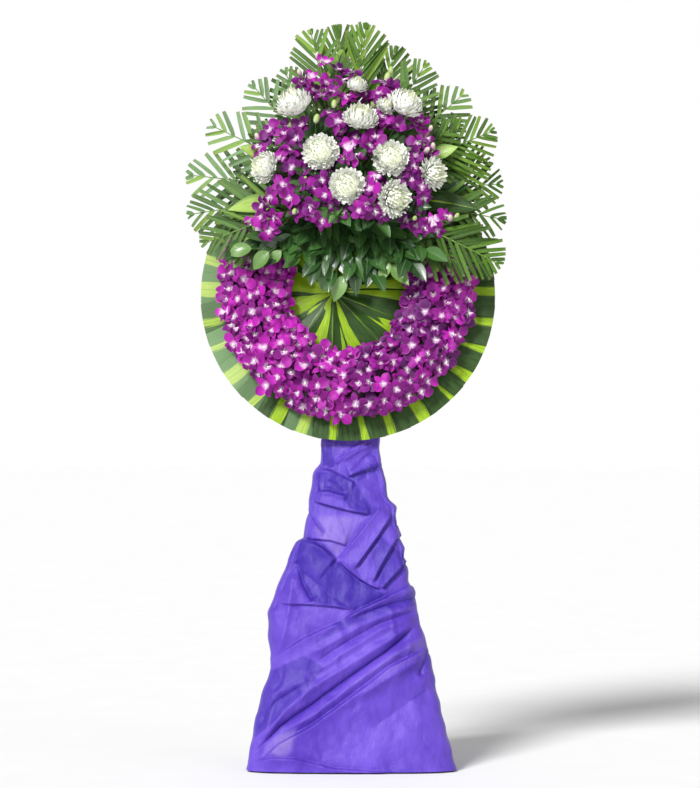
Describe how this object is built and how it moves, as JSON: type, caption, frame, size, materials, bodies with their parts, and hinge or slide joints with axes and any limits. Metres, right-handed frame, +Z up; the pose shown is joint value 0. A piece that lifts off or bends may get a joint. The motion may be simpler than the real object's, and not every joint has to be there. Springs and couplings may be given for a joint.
{
  "type": "standing funeral wreath",
  "caption": "Round leaf-faced wreath with a crescent of orchids and a fan of palm fronds, orchids and chrysanthemums, on a cloth-wrapped three-pole easel.",
  "frame": {"origin": "on the floor, under the middle of the whole outline", "axes": "+Z up; the wreath faces -Y and leans back towards +Y; +X is to the viewer's right"},
  "size_m": [0.7704, 0.7108, 1.8002],
  "materials": {
    "bamboo": "satin",
    "wire": "satin",
    "cloth": "matte",
    "board": "matte",
    "striped_leaf": "satin",
    "orchid": "matte",
    "foam": "matte",
    "mum": "matte",
    "palm": "satin",
    "glossy_leaf": "gloss",
    "lime_leaf": "satin"
  },
  "bodies": {
    "root": {"pole_left": "bamboo", "pole_right": "bamboo", "pole_rear": "bamboo", "crossbar_low": "bamboo", "crossbar_top": "bamboo", "crossing_block": "bamboo", "batten_low": "bamboo", "batten_high": "bamboo", "lashing": "wire", "cloth_wrap": "cloth", "board": "board", "leaf_collar": "striped_leaf", "leaf_centre": "striped_leaf", "broad_leaf_right": "striped_leaf", "broad_leaf_left": "lime_leaf", "orchid_crescent_1": "orchid", "orchid_crescent_2": "orchid", "orchid_crescent_3": "orchid", "orchid_crescent_4": "orchid", "orchid_crescent_5": "orchid", "orchid_crescent_6": "orchid", "orchid_spray_1": "orchid", "orchid_spray_2": "orchid", "orchid_spray_3": "orchid", "orchid_spray_4": "orchid", "orchid_spray_5": "orchid", "orchid_spray_6": "orchid", "orchid_spray_7": "orchid", "orchid_spray_8": "orchid", "orchid_spray_9": "orchid", "foam_brick": "foam", "mum_01": "mum", "mum_02": "mum", "mum_03": "mum", "mum_04": "mum", "mum_05": "mum", "mum_06": "mum", "mum_07": "mum", "mum_08": "mum", "mum_09": "mum", "mum_10": "mum", "palm_frond_01": "palm", "palm_frond_02": "palm", "palm_frond_03": "palm", "palm_frond_04": "palm", "palm_frond_05": "palm", "palm_frond_06": "palm", "palm_frond_07": "palm", "palm_frond_08": "palm", "palm_frond_09": "palm", "palm_frond_10": "palm", "palm_frond_11": "palm", "palm_frond_12": "palm", "palm_frond_13": "palm", "leaf_twig_1": "glossy_leaf", "leaf_twig_2": "glossy_leaf", "leaf_twig_3": "glossy_leaf", "leaf_twig_4": "glossy_leaf", "leaf_twig_5": "glossy_leaf"}
  },
  "joints": []
}
